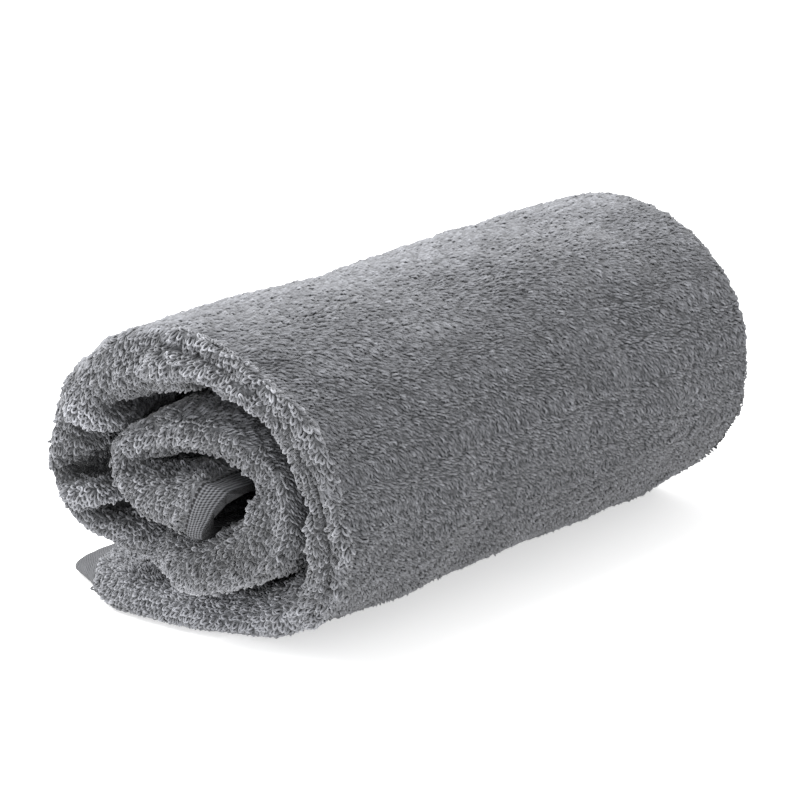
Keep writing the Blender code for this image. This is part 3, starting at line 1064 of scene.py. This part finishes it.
def swept(path, first_arm, radius, corners, closed):
    """Yarn of a few flat sides along each path, with its faces; open ones have no underside."""
    count, steps = path.shape[:2]
    heading = unit(np.gradient(path, axis=1))
    first_arm = unit(first_arm - heading * np.sum(first_arm * heading, axis=2, keepdims=True))
    second_arm = np.cross(heading, first_arm)
    rings = [path + radius * (a * first_arm + b * second_arm) for a, b in corners]
    vertices = np.stack(rings, axis=2)
    sides = len(corners)
    ring = np.arange(steps - 1)[:, None] * sides
    step = np.arange(sides if closed else sides - 1)[None, :]
    beside = (step + 1) % sides
    one = np.stack([ring + step, ring + beside, ring + sides + beside, ring + sides + step], axis=-1)
    one = one.reshape(-1, 4)
    faces = (one[None] + (np.arange(count) * steps * sides)[:, None, None]).reshape(-1, 4)
    return vertices, faces


def painted_patch_tones(points):
    """How much lighter or darker the pile is in the patches of painted light and painted shade."""
    tone = np.zeros(len(points))
    backness = points[:, 0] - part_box("towel")[0][0]
    for patch in PAINTED_PATCHES:
        away = ((points[:, 1] / MM - patch.y) / patch.half_y) ** 2
        away += ((points[:, 2] / MM - patch.z) / patch.half_z) ** 2
        fade = 1.0 - smoothstep(backness, PATCH_FADE * patch.reach * MM, patch.reach * MM)
        tone += patch.tone * np.exp(-away) * fade
    return tone


def clumped(points, normals, low, seed):
    """The points raised or lowered with their clumps, and how high each clump is."""
    clump = wave_noise(points, seed, CLUMP_SCALE)
    return points + normals * (CLUMP_HEIGHT * clump * (1.0 - low))[:, None], clump


def drawn(draw, size, count):
    """That size for each loop."""
    return (size.whole * draw.uniform(size.least, size.most, count))[:, None]


def turned(draw, points, drift):
    """How far each loop turns aside."""
    patches = drift.patches * wave_noise(points, drift.seed, drift.scale)
    return (patches + draw.normal(0.0, drift.single, len(points)))[:, None]


def shades(draw, tone, spots, points, clump, height, painted_bow_light=1.0):
    """Tones of the yarn, with painted light and shade: darker at the roots and lighter high up, on
    crests, in high clumps, on tall bows and in light patches.
    """
    own = draw.normal(tone.mean, tone.spread, len(points)) + RELIEF_PAINTED_LIGHT * spots[:, RELIEF] / MM
    own = (own + CLUMP_PAINTED_LIGHT * clump + painted_patch_tones(points))[:, None, None]
    own = own * painted_bow_light * (tone.middle + tone.rise * height)
    return np.clip(own / MOST_TONE, tone.darkest, 1.0)


def curl_axes(spots, low, draw):
    """Directions of curled loops: across the ring, up it, and the side that it leans to."""
    points, normals, _, across = frames(spots)
    hanging = np.array(CURL_DROOP)
    hanging = unit(hanging - normals * (normals @ hanging)[:, None] + CURL_ASIDE * across)
    turn = turned(draw, points, CURL_DRIFT)
    side = np.cos(turn) * hanging + np.sin(turn) * np.cross(normals, hanging)
    lean = draw.normal(CURL_LEAN, CURL_LEANS, len(spots))
    lean *= np.where(draw.random(len(spots)) < CURL_FORWARD, 1.0, -1.0)
    flat = np.maximum(low, CURL_OUTER_SHARE * (spots[:, ARC] < CURL_OUTER))
    lean = np.radians(lean + (CURL_FLAT - lean) * CURL_FLATTEN * flat)[:, None]
    up = np.cos(lean) * normals + np.sin(lean) * side
    return unit(np.cross(side, normals)), up, side


def curled_loops(spots, draw):
    """Rings of yarn that stand up and lean, as at the near end."""
    count = len(spots)
    points, normals = spots[:, POINT], unit(spots[:, NORMAL])
    low = 1.0 - smoothstep(points[:, 2], *CURL_LOW)
    along, up, side = curl_axes(spots, low, draw)
    size = np.clip(1.0 + CURL_SWELL * spots[:, RELIEF] / MM, *CURL_SIZES)
    size = (size * (1.0 - CURL_LOW_SIZE * low))[:, None]
    wide = size * drawn(draw, CURL_WIDTH, count)
    high = size * drawn(draw, CURL_HEIGHT, count)
    points, clump = clumped(points, normals, low, CURL_CLUMP_SEED)
    middle = points + up * (CURL_MIDDLE * high) + normals * CURL_RAISE
    first, last = (radians(angle) for angle in CURL_ANGLES)
    angles = np.linspace(first, last, CURL_POINTS)
    ring = [
        middle + wide * cos(angle) * along + high * sin(angle) * up
        + side * CURL_OPEN * (angle - pi / 2.0) / (last - first)
        for angle in angles
    ]
    radius = drawn(draw, CURL_RADIUS, count)[..., None]
    arm = np.repeat(np.cross(along, up)[:, None, :], CURL_POINTS, axis=1)
    vertices, faces = swept(np.stack(ring, axis=1), arm, radius, CURL_CORNERS, closed=True)
    # how high each point of a ring stands, for its painted shade at the root
    height = np.sin(angles)[None, :, None] * np.ones((count, 1, len(CURL_CORNERS)))
    return vertices, faces, shades(draw, CURL_TONE, spots, points, clump, height)


def combed_loops(spots, draw):
    """Low bows of yarn that lie combed over one another, as on the roll's back."""
    count = len(spots)
    points, normals, heading, across = frames(spots)
    comb = np.radians(COMB_ANGLE + COMB_TURN * (1.0 - normals[:, 2:3]))
    comb = comb + turned(draw, points, COMB_DRIFT)
    along = np.cos(comb) * across + np.sin(comb) * heading
    side = np.cross(normals, along)
    low = 1.0 - smoothstep(points[:, 2], *COMB_LOW)
    wide = drawn(draw, COMB_WIDTH, count)
    high = drawn(draw, COMB_HEIGHT, count) * (1.0 - COMB_LOW_SIZE * low)[:, None]
    bow = drawn(draw, COMB_BOW, count)
    points, clump = clumped(points, normals, low, COMB_CLUMP_SEED)
    path = [
        points + a * wide * along + h * high * normals + b * bow * side
        for a, h, b in COMB_STEPS
    ]
    radius = drawn(draw, COMB_RADIUS, count)[..., None]
    top = np.repeat(normals[:, None, :], len(COMB_STEPS), axis=1)
    vertices, faces = swept(np.stack(path, axis=1), top, radius, COMB_CORNERS, closed=False)
    # how high each point of a bow stands, for its painted shade at the root
    height = np.array([h for _, h, _ in COMB_STEPS])[None, :, None]
    height = height * np.ones((count, 1, len(COMB_CORNERS)))
    # tall bows get painted light, low ones painted shade
    short, painted_bow_light = COMB_TALL_PAINTED_LIGHT
    painted_bow_light = short + painted_bow_light * (high[..., None] / COMB_HEIGHT.whole)
    return vertices, faces, shades(draw, COMB_TONE, spots, points, clump, height, painted_bow_light)


def pile_pieces(name, spots, make, triangles, draw, material):
    """The loops, of so many triangles each, as joined pieces under the limit."""
    made = []
    each = MOST_TRIANGLES // triangles
    for order, first in enumerate(range(0, len(spots), each)):
        vertices, faces, tones = make(spots[first:first + each], draw)
        vertices = vertices.reshape(-1, 3)
        vertices[:, 2] = np.maximum(vertices[:, 2], LEAST_HEIGHT)
        mesh = quad_mesh(f"{name}_{order + 1}", vertices, faces)
        number(mesh, "tone", tones.ravel())
        made.append(link(f"{name}_{order + 1}", mesh, material))
    return made


# The studio
def make_camera():
    """The camera of the photo."""
    data = bpy.data.cameras.new("camera")
    data.lens = LENS
    data.sensor_width = SENSOR
    camera = new_object("camera", data)
    columns = [Vector(CAMERA_RIGHT), Vector(CAMERA_UP), -Vector(CAMERA_AHEAD)]
    turn = Matrix(columns).transposed().to_4x4()
    camera.matrix_world = Matrix.Translation(CAMERA_PLACE) @ turn
    bpy.context.scene.camera = camera


def area_light(light):
    """A soft square light that looks at a point."""
    data = bpy.data.lights.new(light.name, "AREA")
    data.shape = "SQUARE"
    data.size = light.size
    data.energy = light.power
    lamp = new_object(light.name, data)
    lamp.location = light.place
    aim = Vector(light.target) - Vector(light.place)
    lamp.rotation_mode = "QUATERNION"
    lamp.rotation_quaternion = aim.to_track_quat("-Z", "Y")


def make_floor():
    """A pale floor that glows a little, so that it comes out white."""
    mesh = bpy.data.meshes.new("floor")
    corners = ((-1, -1), (1, -1), (1, 1), (-1, 1))
    points = [(x * FLOOR_HALF, y * FLOOR_HALF, 0.0) for x, y in corners]
    mesh.from_pydata(points, [], [(0, 1, 2, 3)])
    material, _, shader = shader_material(FLOOR)
    set_inputs(shader, {"Emission Color": WHITE, "Emission Strength": FLOOR_GLOW})
    mesh.materials.append(material)
    floor = new_object("floor", mesh)


def make_studio():
    """Pale surroundings, the floor and the lights."""
    world = bpy.data.worlds.new("studio")
    world.use_nodes = True
    sky = world.node_tree.nodes["Background"]
    set_inputs(sky, {"Color": WHITE, "Strength": SKY_STRENGTH})
    bpy.context.scene.world = world
    bpy.context.scene.view_settings.view_transform = "Standard"
    make_floor()
    for light in LIGHTS:
        area_light(light)


def main():
    """Makes the studio, the skin and the pile that stands on it."""
    draw = np.random.default_rng(SEED)
    make_camera()
    make_studio()
    strip = Strip()
    last = len(strip.distance) - 1
    indices = [*range(0, last, SKIN_STEP), last]
    distances = strip.distance[indices]
    shown, hidden = skin_grids(strip, indices)
    shown, relief = creased(strip, indices, shown, outward_normals(strip, indices, shown))
    normals = outward_normals(strip, indices, shown)
    facts = np.concatenate([shown, normals, relief[..., None]], axis=2)
    skin = link("skin", skin_mesh(strip, shown, hidden, distances), ground_material())
    skin.data.materials.append(woven_material(strip.length))
    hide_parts("towel")
    tree = BVHTree.FromObject(skin, bpy.context.evaluated_depsgraph_get())
    yarn = yarn_material()
    curls = find_loops(strip, facts, distances, tree, draw, CURL_PITCH, curled=True)
    combs = find_loops(strip, facts, distances, tree, draw, COMB_PITCH, curled=False)
    pile = pile_pieces("pile_near", curls, curled_loops, CURL_TRIANGLES, draw, yarn)
    pile += pile_pieces("pile_back", combs, combed_loops, COMB_TRIANGLES, draw, yarn)


main()
